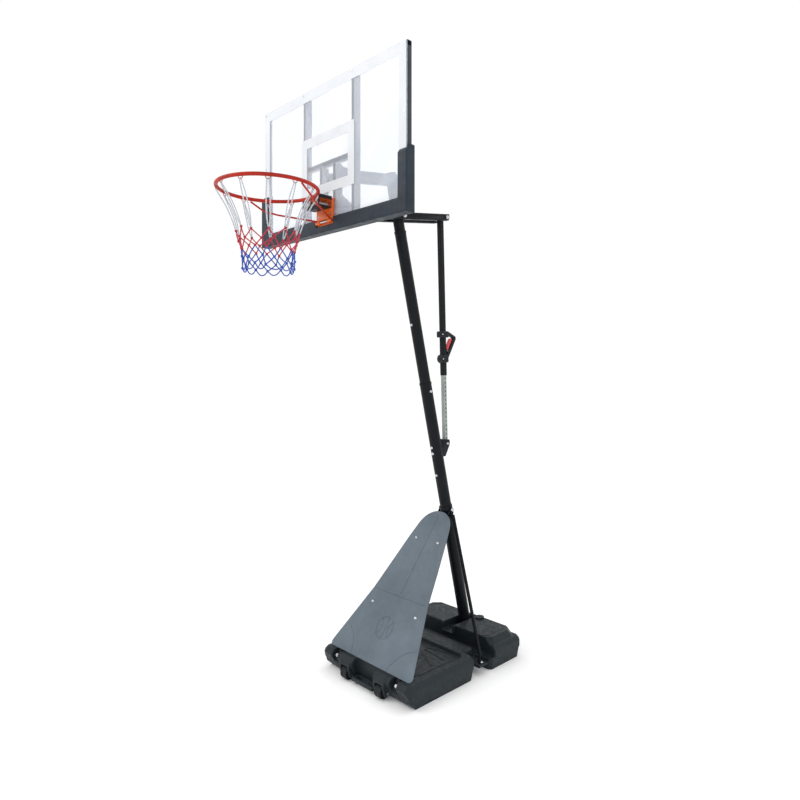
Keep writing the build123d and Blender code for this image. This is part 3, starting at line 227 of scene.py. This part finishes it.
MATS = {
    "black_steel": powder_coat("powder_coat_black", (0.0048, 0.0062, 0.0082), 0.42, 0.14),
    "zinc_bolts": bright_metal("zinc_plate", (0.58, 0.59, 0.61)),
    "base_plastic": moulded("tank_plastic", (0.0120, 0.0185, 0.0220), 0.50),
    "black_plastic": moulded("injected_black", (0.0065, 0.0078, 0.0095), 0.42, 900, 0.18, 0.3),
    "ballast": moulded("ballast_water", (0.3, 0.4, 0.5), 0.4),
    "wheel_plastic": moulded("wheel_plastic", (0.011, 0.013, 0.015), 0.55, 900, 0.2, 0.45),
    "shield_plastic": moulded("shield_plastic", (0.110, 0.140, 0.168), 0.52, 800, 0.26, 0.12, 0.3),
    "silver_steel": powder_coat("tube_silver", (0.27, 0.31, 0.285), 0.33, 0.5),
    "red_plastic": gloss_plastic("trigger_red", (0.62, 0.012, 0.025)),
    "clear_board": clear_sheet("acrylic"),
    "white_print": printed("print_white", (0.66, 0.68, 0.71)),
    "frame_steel": powder_coat("frame_grey", (0.028, 0.034, 0.050), 0.42, 0.3),
    "pad_foam": foam_skin("pad_foam", (0.0130, 0.0215, 0.0320)),
    "rim_orange": powder_coat("powder_coat_orange", (0.38, 0.016, 0.004), 0.36, 0.22),
    "spring_steel": bright_metal("spring_zinc", (0.66, 0.67, 0.69), 0.24, (30, 1, 30)),
    "net_fabric": braid("cord_white", (0.66, 0.69, 0.74)),
}
# A lighter copy of the rim's orange powder coat, which is painted light for the lit faces of the
# bracket and mount plate. They have the same finish as the ring.
BRACKET_ORANGE_LIT = powder_coat("powder_coat_orange_lit", (0.72, 0.125, 0.016), 0.36, 0.4)
CORD_RED = braid("cord_red", (0.58, 0.014, 0.045))
CORD_BLUE = braid("cord_blue", (0.010, 0.090, 0.52))

for node_name, obj in NODES.items():
    obj.data.materials.clear()
    obj.data.materials.append(MATS[SLOT_OF[node_name]])
# The bracket and mount plate take the lighter orange, which is painted light.
NODES["rim_bracket"].data.materials[0] = BRACKET_ORANGE_LIT
NODES["rim_mount_plate"].data.materials[0] = BRACKET_ORANGE_LIT


# ------------------------------------------------------------------ mesh helpers

WELD = 1e-5
FLAT_ANGLE = math.radians(1.2)
EDGE_ANGLE = math.radians(28)


def link(obj):
    """Puts an object in the scene."""
    bpy.context.scene.collection.objects.link(obj)
    return obj


def new_mesh(name, verts, faces, *mats):
    """A linked object from points and faces."""
    mesh = bpy.data.meshes.new(name)
    mesh.from_pydata([tuple(v) for v in verts], [], faces)
    mesh.update()
    for m in mats:
        mesh.materials.append(m)
    return link(bpy.data.objects.new(name, mesh))


def stand_for(obj, node, *others):
    """A new piece that takes a CAD node's place and body."""
    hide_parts(node, *others)
    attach(obj, BODY_OF[node])
    return obj


def copy_of(node, name):
    """A loose copy of a node's mesh with its flat faces merged."""
    mesh = NODES[node].data.copy()
    mesh.name = name
    bm = bmesh.new()
    bm.from_mesh(mesh)
    bmesh.ops.remove_doubles(bm, verts=bm.verts, dist=WELD)
    bmesh.ops.dissolve_limit(bm, angle_limit=FLAT_ANGLE, verts=bm.verts, edges=bm.edges)
    bm.to_mesh(mesh)
    bm.free()
    return link(bpy.data.objects.new(name, mesh))


def applied(obj):
    """Bakes an object's modifiers into its mesh."""
    bpy.context.view_layer.update()
    graph = bpy.context.evaluated_depsgraph_get()
    mesh = bpy.data.meshes.new_from_object(obj.evaluated_get(graph), depsgraph=graph)
    obj.modifiers.clear()
    obj.data = mesh
    return obj


def smooth(obj, degrees):
    """Smooth shading, with the edges sharper than the angle kept sharp."""
    for polygon in obj.data.polygons:
        polygon.use_smooth = True
    obj.data.set_sharp_from_angle(angle=math.radians(degrees))
    return obj


def rounded(node, width):
    """The node again with its hard edges rounded over."""
    obj = copy_of(node, node + "_rounded")
    bevel = obj.modifiers.new("round", "BEVEL")
    bevel.width = width
    bevel.segments = 2
    bevel.limit_method = "ANGLE"
    bevel.angle_limit = EDGE_ANGLE
    bevel.use_clamp_overlap = True
    applied(obj)
    smooth(obj, 50)
    return stand_for(obj, node)


def keep_outer(obj):
    """Drops the shells of closed hollows, so that a thin wall can't be lost in a remesh."""
    bm = bmesh.new()
    bm.from_mesh(obj.data)
    bm.verts.ensure_lookup_table()
    left, shells = set(bm.verts), []
    while left:
        stack, shell = [left.pop()], []
        while stack:
            v = stack.pop()
            shell.append(v)
            for edge in v.link_edges:
                other = edge.other_vert(v)
                if other in left:
                    left.discard(other)
                    stack.append(other)
        shells.append(shell)
    shells.sort(key=lambda s: max(v.co.z for v in s) - min(v.co.z for v in s))
    bmesh.ops.delete(bm, geom=[v for shell in shells[:-1] for v in shell], context="VERTS")
    bm.to_mesh(obj.data)
    bm.free()


def moulded_form(node, voxel, passes, shape=None):
    """The node as a moulding: remeshed finely and relaxed, so that every edge is soft."""
    obj = copy_of(node, node + "_moulded")
    keep_outer(obj)
    remesh = obj.modifiers.new("skin", "REMESH")
    remesh.mode = "VOXEL"
    remesh.voxel_size = voxel
    relax = obj.modifiers.new("relax", "SMOOTH")
    relax.factor = 0.5
    relax.iterations = passes
    applied(obj)
    if shape is not None:
        moved = [c for v in obj.data.vertices for c in v.co + shape(v.co, v.normal)]
        obj.data.vertices.foreach_set("co", moved)
        obj.data.update()
    smooth(obj, 180)
    return stand_for(obj, node)


for node_name, obj in NODES.items():
    for polygon in obj.data.polygons:
        polygon.use_smooth = False

ROUNDED = {
    "shield_panel": 0.0022,
    "lower_arm_left": 0.0022,
    "lower_arm_right": 0.0022,
    "upper_arm_left": 0.0022,
    "upper_arm_right": 0.0022,
    "rim_bracket": 0.0010,
    "rim_mount_plate": 0.0010,
    "bracket_side_plates": 0.0011,
    "lift_foot_bracket": 0.0010,
    "strut_collar": 0.0009,
    "frame_rails": 0.0022,
    "frame_side_rails": 0.0022,
    "frame_uprights": 0.0022,
    "frame_cross_bar": 0.0022,
    "bracket_uprights": 0.0020,
    "spring_cover": 0.0012,
    "board_panel": 0.0010,
    "pull_handle": 0.0028,
    "filler_cap": 0.0008,
    "front_strut_left": 0.0007,
    "front_strut_right": 0.0007,
    "rear_strut_left": 0.0007,
    "rear_strut_right": 0.0007,
}
PIECES = {name: rounded(name, width) for name, width in ROUNDED.items()}


# metres in the frame: where the deck and the plateau are, and how far their details stand out
UP_FACING = 0.8
DECK_LOW, DECK_HIGH, DECK_REAR_Y = 0.095, 0.114, -0.03
PLATEAU_LOW = 0.155
FAN_Y, FAN_GAP, FAN_RISE = -0.075, 0.36, 0.0045
BORDER_X, BORDER_Y, BORDER_RISE = 0.272, -0.345, 0.003
PANEL_LINE_DEPTH, LANE_GAP, LANE_RISE = 0.0030, 0.055, 0.0014


def band(value, low, high, soft):
    """1 between low and high, falling to 0 over a soft width outside them."""
    return max(0.0, min(1.0, (value - low) / soft + 1, (high - value) / soft + 1))


def below(value, high, soft):
    """1 under high, falling to 0 over a soft width above it, for a value over -1."""
    return band(value, -1, high, soft)


def off_line(value, gap):
    """How far a value lies from the nearest of a row of evenly spaced lines."""
    return abs((value / gap + 0.5) % 1.0 - 0.5) * gap


def tank_detail(co, normal):
    """Ribs and a border on the sunken deck; a sunk panel line and ribs on the rear plateau."""
    if normal.z < UP_FACING:
        return Vector((0, 0, 0))
    x, y = abs(co.x), co.y
    rise = 0.0
    if DECK_LOW < co.z < DECK_HIGH and y < DECK_REAR_Y:
        reach = math.hypot(co.x, y - FAN_Y)
        spoke = off_line(math.atan2(co.x, FAN_Y - y), FAN_GAP) * reach
        fan = band(reach, 0.075, 0.265, 0.02) * below(spoke, 0.0045, 0.005)
        fan *= below(x, 0.235, 0.01) * band(y, -0.315, 1, 0.01)
        border = max(below(abs(y - BORDER_Y), 0.004, 0.004), below(abs(x - BORDER_X), 0.004, 0.004))
        border *= below(x, 0.276, 0.002) * band(y, -0.349, -0.05, 0.002)
        rise = FAN_RISE * fan + BORDER_RISE * border
    elif co.z > PLATEAU_LOW:
        corners = max(x + y - 0.640, x - y - 0.080) * 0.7
        edge = max(x - 0.292, y - 0.392, 0.176 - y, corners)
        rise = -PANEL_LINE_DEPTH * below(abs(edge), 0.0022, 0.0035)
        if edge < -0.008 and x > 0.06:
            rise += LANE_RISE * below(off_line(co.x + y, LANE_GAP), 0.004, 0.004)
    return Vector((0, 0, rise))


PIECES["base_tank"] = moulded_form("base_tank", 0.0030, 5, tank_detail)
PIECES["edge_pad"] = moulded_form("edge_pad", 0.0036, 5)
PIECES["lift_handle"] = moulded_form("lift_handle", 0.0016, 5)
PIECES["trigger"] = moulded_form("trigger", 0.0010, 4)


# ------------------------------------------------------------------ net


def smoothed(points, rounds=3):
    """A polyline with its corners cut, ends kept."""
    for _ in range(rounds):
        cut = [points[0]]
        for a, b in zip(points, points[1:]):
            cut += [a.lerp(b, 0.25), a.lerp(b, 0.75)]
        cut.append(points[-1])
        points = cut
    return points


def spaced(points, step):
    """The same polyline with evenly spaced points."""
    lengths = [0.0]
    for a, b in zip(points, points[1:]):
        lengths.append(lengths[-1] + (b - a).length)
    count = max(2, int(round(lengths[-1] / step)))
    out, k = [], 0
    for i in range(count + 1):
        want = lengths[-1] * i / count
        while k < len(lengths) - 2 and lengths[k + 1] < want:
            k += 1
        span = lengths[k + 1] - lengths[k] or 1.0
        out.append(points[k].lerp(points[k + 1], (want - lengths[k]) / span))
    return out


class Cords:
    """Three-strand cords gathered into one mesh, with a material for each colour."""

    STRANDS, SIDES, STEP = 3, 5, 0.0030
    LAY = 0.015
    PLY, PLY_OFFSET = 0.52, 0.50
    KNOT_RADIUS, KNOT_RISE, KNOT_STEPS, KNOT_STEP = 0.0042, 0.0036, 31, 0.42

    def __init__(self):
        self.verts, self.faces, self.colours = [], [], []

    def lay(self, points, radius, colour):
        """Three plies twisted round a path."""
        path = spaced(points, self.STEP)
        normal = (path[1] - path[0]).orthogonal().normalized()
        frames, travelled = [], 0.0
        for i, p in enumerate(path):
            ahead = path[min(i + 1, len(path) - 1)] - path[max(i - 1, 0)]
            tangent = ahead.normalized()
            normal = (normal - tangent * normal.dot(tangent)).normalized()
            travelled += (p - path[i - 1]).length if i else 0.0
            frames.append((p, tangent, normal, tangent.cross(normal), travelled))
        ply, offset = radius * self.PLY, radius * self.PLY_OFFSET
        for strand in range(self.STRANDS):
            start = len(self.verts)
            for p, tangent, u, v, along in frames:
                turn = TURN * (along / self.LAY + strand / self.STRANDS)
                out = u * math.cos(turn) + v * math.sin(turn)
                side = tangent.cross(out)
                for k in range(self.SIDES):
                    a = TURN * k / self.SIDES
                    away = out * (offset + ply * math.cos(a))
                    self.verts.append(p + away + side * (ply * math.sin(a)))
            rings = len(frames)
            for i in range(rings - 1):
                for k in range(self.SIDES):
                    first = start + i * self.SIDES
                    a, b = first + k, first + (k + 1) % self.SIDES
                    self.faces.append((a, b, b + self.SIDES, a + self.SIDES))
                    self.colours.append(colour)
            for cap in (start, start + (rings - 1) * self.SIDES):
                ring = [cap + k for k in range(self.SIDES)]
                self.faces.append(ring if cap != start else ring[::-1])
                self.colours.append(colour)

    def knot(self, centre, radius, colour):
        """A tight knot: two turns of cord that rise and fall round an upright axis."""
        up = Vector((0, 0, 1))
        u = up.orthogonal().normalized()
        u = Matrix.Rotation(random.uniform(0, 6.28), 3, up) @ u
        v = up.cross(u)
        turns = []
        for t in [self.KNOT_STEP * k for k in range(self.KNOT_STEPS)]:
            round_axis = (u * math.cos(t) + v * math.sin(t)) * self.KNOT_RADIUS
            turns.append(centre + round_axis + up * (self.KNOT_RISE * math.sin(t * 0.5 + 0.4)))
        self.lay(turns, radius, colour)

    def build(self, name, *mats):
        """All the cords as one object."""
        obj = new_mesh(name, self.verts, self.faces, *mats)
        obj.data.polygons.foreach_set("material_index", self.colours)
        return smooth(obj, 70)


RING_CENTRE = Vector((0.0, -1.056, 2.586))
RING_RADIUS, RING_ROD = 0.234, 0.009
HOOKS = 12
CORD_TOP_DROP = 0.0115
# height and radius of each ring of knots, from the top
LEVELS = ((2.374, 0.1495), (2.333, 0.1370), (2.289, 0.1265), (2.246, 0.1205), (2.208, 0.1175))
LOOP_LOW = 2.182
CORD = 0.0033
KNOT_CORD = CORD * 0.92
WHITE, RED, BLUE = 0, 1, 2
RED_CORD_LEVELS, RED_KNOT_LEVELS = 2, 3
# share of the way up, distance to the side and inward hang of each point of a fall
FALL = (
    (0.07, 0.004, 0.001),
    (0.25, 0.0085, 0.006),
    (0.5, 0.0095, 0.010),
    (0.75, 0.0085, 0.007),
    (0.93, 0.0055, 0.001),
)


def net_point(radius, angle, z):
    """A point round the ring's axis."""
    return Vector((radius * math.cos(angle), RING_CENTRE.y + radius * math.sin(angle), z))


def make_net():
    """White double falls from the hooks, a red and blue mesh, and a row of loops at the foot."""
    step = TURN / HOOKS
    knots = []
    for level, (z, radius) in enumerate(LEVELS):
        shift = 0.5 if level % 2 else 0.0
        knots.append([
            net_point(
                radius + random.uniform(-0.006, 0.006),
                (i + shift + random.uniform(-0.17, 0.17)) * step,
                z + random.uniform(-0.009, 0.009),
            )
            for i in range(HOOKS)
        ])
    cords = Cords()
    for i in range(HOOKS):
        a = i * step
        top = net_point(RING_RADIUS, a, RING_CENTRE.z - RING_ROD - CORD_TOP_DROP)
        tangent = Vector((-math.sin(a), math.cos(a), 0))
        knot = knots[0][i]
        inward = Vector((-math.cos(a), -math.sin(a), 0))
        lean = random.uniform(-0.004, 0.004)
        falls = []
        for side in (-1, 1):
            fall = []
            for share, spread, hang in FALL:
                aside = side * spread + lean * math.sin(math.pi * share)
                fall.append(knot.lerp(top, share) + tangent * aside + inward * hang)
            falls.append(fall)
        over = [top + tangent * -0.0045, top + Vector((0, 0, 0.0055)), top + tangent * 0.0045]
        cords.lay(smoothed([knot] + falls[0] + over + falls[1][::-1] + [knot]), CORD, WHITE)
    for level in range(len(LEVELS) - 1):
        colour = RED if level < RED_CORD_LEVELS else BLUE
        for i in range(HOOKS):
            up = knots[level][i]
            for j in ((i, (i + 1) % HOOKS) if level % 2 else (i - 1, i)):
                down = knots[level + 1][j]
                middle = up.lerp(down, 0.5)
                out = Vector((middle.x, middle.y - RING_CENTRE.y, 0)).normalized()
                sag = out * random.uniform(-0.002, 0.003)
                sag += Vector((0, 0, random.uniform(-0.004, 0.001)))
                cords.lay(smoothed([up, middle + sag, down], 2), CORD, colour)
    last = knots[-1]
    for i in range(HOOKS):
        a, b = last[i], last[(i + 1) % HOOKS]
        low = a.lerp(b, 0.5)
        low.z = LOOP_LOW + random.uniform(-0.001, 0.006)
        belly = Vector((0, 0, -0.004))
        near_a, near_b = a.lerp(low, 0.55) + belly, b.lerp(low, 0.55) + belly
        dip = [a, near_a, low.lerp(a, 0.18), low.lerp(b, 0.18), near_b, b]
        cords.lay(smoothed(dip), CORD, BLUE)
    for level, row in enumerate(knots):
        for p in row:
            cords.knot(p, KNOT_CORD, RED if level < RED_KNOT_LEVELS else BLUE)
    return cords.build("net_cords", MATS["net_fabric"], CORD_RED, CORD_BLUE)


stand_for(make_net(), "net")


# ------------------------------------------------------------------ wheels

WHEEL_STEPS, STEPS_PER_BLOCK, BLOCK_STEPS = 96, 6, 4
TREAD_DEPTH, SPOKE_TURN, SPOKE_HALF_SHARE = 0.0017, math.pi / 3, 0.07


def make_wheel(node):
    """A moulded wheel: tread blocks round the rim, a dished web with six spokes, and a hub."""
    low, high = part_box(node)
    centre = Vector([(a + b) / 2 for a, b in zip(low, high)])
    half, radius = (high[0] - low[0]) / 2, (high[2] - low[2]) / 2
    side = [
        (half, 0.0052),
        (half, 0.0100),
        (half - 0.0012, 0.0114),
        (half - 0.0070, 0.0122),
        (half - 0.0072, 0.0160),
        (half - 0.0072, 0.0200),
        (half - 0.0072, 0.0240),
        (half - 0.0070, 0.0282),
        (half - 0.0012, 0.0296),
        (half, 0.0310),
        (half - 0.0008, radius - 0.0030),
        (half - 0.0040, radius),
        (0.0085, radius),
        (0.0065, radius - 0.0018),
    ]
    profile = side + [(-x, r) for x, r in side[::-1]]
    verts, faces = [], []
    for i in range(WHEEL_STEPS):
        a = TURN * i / WHEEL_STEPS
        groove = i % STEPS_PER_BLOCK >= BLOCK_STEPS
        spoke = abs((a / SPOKE_TURN + 0.5) % 1.0 - 0.5) < SPOKE_HALF_SHARE
        for x, r in profile:
            if r > radius - 0.0005 and groove:
                r -= TREAD_DEPTH
            if 0.0150 < r < 0.0250 and spoke:
                x = math.copysign(half - 0.0016, x)
            verts.append(centre + Vector((x, r * math.cos(a), r * math.sin(a))))
    n = len(profile)
    for i in range(WHEEL_STEPS):
        j = (i + 1) % WHEEL_STEPS
        for k in range(n):
            m = (k + 1) % n
            faces.append((i * n + k, i * n + m, j * n + m, j * n + k))
    wheel = new_mesh(node + "_tread", verts, faces, MATS["wheel_plastic"])
    bm = bmesh.new()
    bm.from_mesh(wheel.data)
    bmesh.ops.recalc_face_normals(bm, faces=bm.faces)
    bm.to_mesh(wheel.data)
    bm.free()
    stand_for(smooth(wheel, 35), node)


# ------------------------------------------------------------------ rim


def swept(name, points, radius, sides, closed, mat):
    """A round bar along a list of points."""
    verts, faces = [], []
    normal = (points[1] - points[0]).orthogonal().normalized()
    count = len(points)
    for i, p in enumerate(points):
        before = points[i - 1] if i or closed else points[0]
        after = points[(i + 1) % count] if i < count - 1 or closed else points[-1]
        tangent = (after - before).normalized()
        normal = (normal - tangent * normal.dot(tangent)).normalized()
        other = tangent.cross(normal)
        for k in range(sides):
            a = TURN * k / sides
            verts.append(p + (normal * math.cos(a) + other * math.sin(a)) * radius)
    for i in range(count if closed else count - 1):
        j = (i + 1) % count
        for k in range(sides):
            n = (k + 1) % sides
            faces.append((i * sides + k, i * sides + n, j * sides + n, j * sides + k))
    if not closed:
        faces.append(list(range(sides))[::-1])
        faces.append([(count - 1) * sides + k for k in range(sides)])
    return smooth(new_mesh(name, verts, faces, mat), 60)


def joined(name, objects):
    """Several meshes as one object."""
    bm = bmesh.new()
    for o in objects:
        bm.from_mesh(o.data)
    mesh = bpy.data.meshes.new(name)
    bm.to_mesh(mesh)
    bm.free()
    for m in objects[0].data.materials:
        mesh.materials.append(m)
    for o in objects:
        bpy.data.objects.remove(o)
    return link(bpy.data.objects.new(name, mesh))


RING_STEPS = 180
SWELL, SWELL_SCALE = 0.00015, 60
HOOK_HALF, HOOK_DROP, HOOK_WIRE = 0.011, 0.0125, 0.0018
BEAD_WIDE, BEAD_LONG, BEAD_RADIUS = 0.0012, 0.0016, 0.0016


def make_ring():
    """The ring's bar, very slightly uneven, as a bent bar is."""
    turn = [TURN * i / RING_STEPS for i in range(RING_STEPS)]
    points = [RING_CENTRE + Vector((math.cos(a), math.sin(a), 0)) * RING_RADIUS for a in turn]
    ring = swept("ring_bar", points, RING_ROD, 24, True, MATS["rim_orange"])
    for v in ring.data.vertices:
        swell = noise.noise(v.co * SWELL_SCALE) * SWELL
        v.co += Vector((v.co.x, v.co.y - RING_CENTRE.y, 0)).normalized() * swell
    stand_for(ring, "rim_ring")


def make_hooks():
    """U-hooks of bent wire, each end in a weld bead."""
    orange = MATS["rim_orange"]
    parts = []
    for i in range(HOOKS):
        a = TURN * i / HOOKS
        radial = Vector((math.cos(a), math.sin(a), 0))
        tangent = Vector((-math.sin(a), math.cos(a), 0))
        base = RING_CENTRE + radial * RING_RADIUS - Vector((0, 0, RING_ROD - 0.001))
        arc = [
            base + tangent * (HOOK_HALF * math.cos(t)) - Vector((0, 0, HOOK_DROP * math.sin(t)))
            for t in [math.pi * k / 16 for k in range(17)]
        ]
        parts.append(swept(f"hook_{i}", arc, HOOK_WIRE, 10, False, orange))
        for side in (-1, 1):
            foot = base + tangent * (side * HOOK_HALF)
            bead = [
                foot + radial * (BEAD_WIDE * math.cos(t)) + tangent * (BEAD_LONG * math.sin(t))
                for t in [TURN * k / 10 for k in range(10)]
            ]
            parts.append(swept(f"bead_{i}_{side}", bead, BEAD_RADIUS, 8, True, orange))
    stand_for(smooth(joined("net_hook_wires", parts), 60), "net_hooks")


make_ring()
make_hooks()
make_wheel("wheel_left")
make_wheel("wheel_right")


# ------------------------------------------------------------------ shield emboss

BALL_UP_SLOPE, BALL_RADIUS, SEAM_RADIUS, SEAM_BOW = 0.195, 0.062, 0.0016, 0.010
PROUD = 0.0002


def make_emboss():
    """A plain ball outline raised on the shield."""
    panel = PIECES["shield_panel"].data
    face = max(panel.polygons, key=lambda p: p.area if p.normal.z > 0 else 0)
    normal = face.normal.copy()
    low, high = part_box("shield_panel")
    slope = Vector((1, 0, 0)).cross(normal) * -1
    slope = slope if slope.z > 0 else -slope
    foot = Vector((0, low[1], 0))
    foot.z = face.center.z - (face.center.y - foot.y) * slope.z / slope.y
    middle = foot + slope * BALL_UP_SLOPE
    across = Vector((1, 0, 0))

    def on_face(u, v):
        return middle + across * u + slope * v + normal * PROUD

    size = BALL_RADIUS
    round_ball = [TURN * k / 72 for k in range(73)]
    steps = [k / 24 for k in range(25)]
    lines = [
        [on_face(size * math.cos(t), size * math.sin(t)) for t in round_ball],
        [on_face(-size + 2 * size * s, SEAM_BOW * math.sin(math.pi * s)) for s in steps],
        [on_face(0.008 * math.sin(math.pi * s), -size + 2 * size * s) for s in steps],
    ]
    for way in (-1, 1):
        lines.append([
            on_face(way * (0.098 - 0.072 * math.cos(t)), size * math.sin(t))
            for t in [-0.92 + 1.84 * s for s in steps]
        ])
    bars = [
        swept(f"seam_{i}", line, SEAM_RADIUS, 8, False, MATS["shield_plastic"])
        for i, line in enumerate(lines)
    ]
    emboss = joined("ball_outline", bars)
    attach(emboss, BODY_OF["shield_panel"])


make_emboss()


# ------------------------------------------------------------------ stage, light and camera


STAGE_HALF = 40.0


def area_light(name, place, target, size, power, colour=(1, 1, 1)):
    """A rectangular soft light that faces its target."""
    data = bpy.data.lights.new(name, "AREA")
    data.shape = "RECTANGLE"
    data.size, data.size_y = size
    data.energy = power
    data.color = colour
    light = link(bpy.data.objects.new(name, data))
    light.location = place
    light.rotation_euler = (Vector(target) - Vector(place)).to_track_quat("-Z", "Y").to_euler()


def make_stage():
    """A plain pale floor under a white sky, with three soft lights."""
    s = Shader("stage_white", (0.95, 0.95, 0.95), 0.9, specular=0.0)
    s.colour_by(s.noise(0.6, 2), (0.3, (0.955, 0.955, 0.96)), (0.7, (0.965, 0.965, 0.965)))
    s.bsdf.inputs["Emission Color"].default_value = (1, 1, 1, 1)
    s.bsdf.inputs["Emission Strength"].default_value = 0.06
    corners = [(x * STAGE_HALF, y * STAGE_HALF, 0) for x, y in ((-1, -1), (1, -1), (1, 1), (-1, 1))]
    floor = new_mesh("stage_floor", corners, [(0, 1, 2, 3)], s.mat)
    world = bpy.data.worlds.new("studio")
    bpy.context.scene.world = world
    world.use_nodes = True
    background = world.node_tree.nodes["Background"]
    background.inputs["Color"].default_value = (1.0, 1.0, 1.0, 1)
    background.inputs["Strength"].default_value = 1.02
    area_light("key", (-2.5, -4.5, 5.5), (0, -0.4, 1.6), (3.0, 3.0), 90)
    area_light("fill", (5.0, -2.0, 3.0), (0, -0.3, 1.5), (3.0, 4.0), 20, (0.95, 0.98, 1.0))
    area_light("back", (1.0, 4.5, 4.5), (0, -0.3, 2.0), (3.0, 2.0), 30)


def make_camera():
    """Level camera from the front right; the shift holds the object's place in the frame."""
    data = bpy.data.cameras.new("camera")
    data.sensor_width = 36.0
    data.lens = 28.39
    data.shift_x, data.shift_y = -0.0569, -0.0397
    data.clip_end = 200
    camera = link(bpy.data.objects.new("camera", data))
    camera.location = (2.699, -2.615, 1.732)
    camera.rotation_euler = (math.radians(90), 0, math.radians(44.27))
    bpy.context.scene.camera = camera


make_stage()
make_camera()
view = bpy.context.scene.view_settings
view.view_transform = "Standard"
view.look = "None"
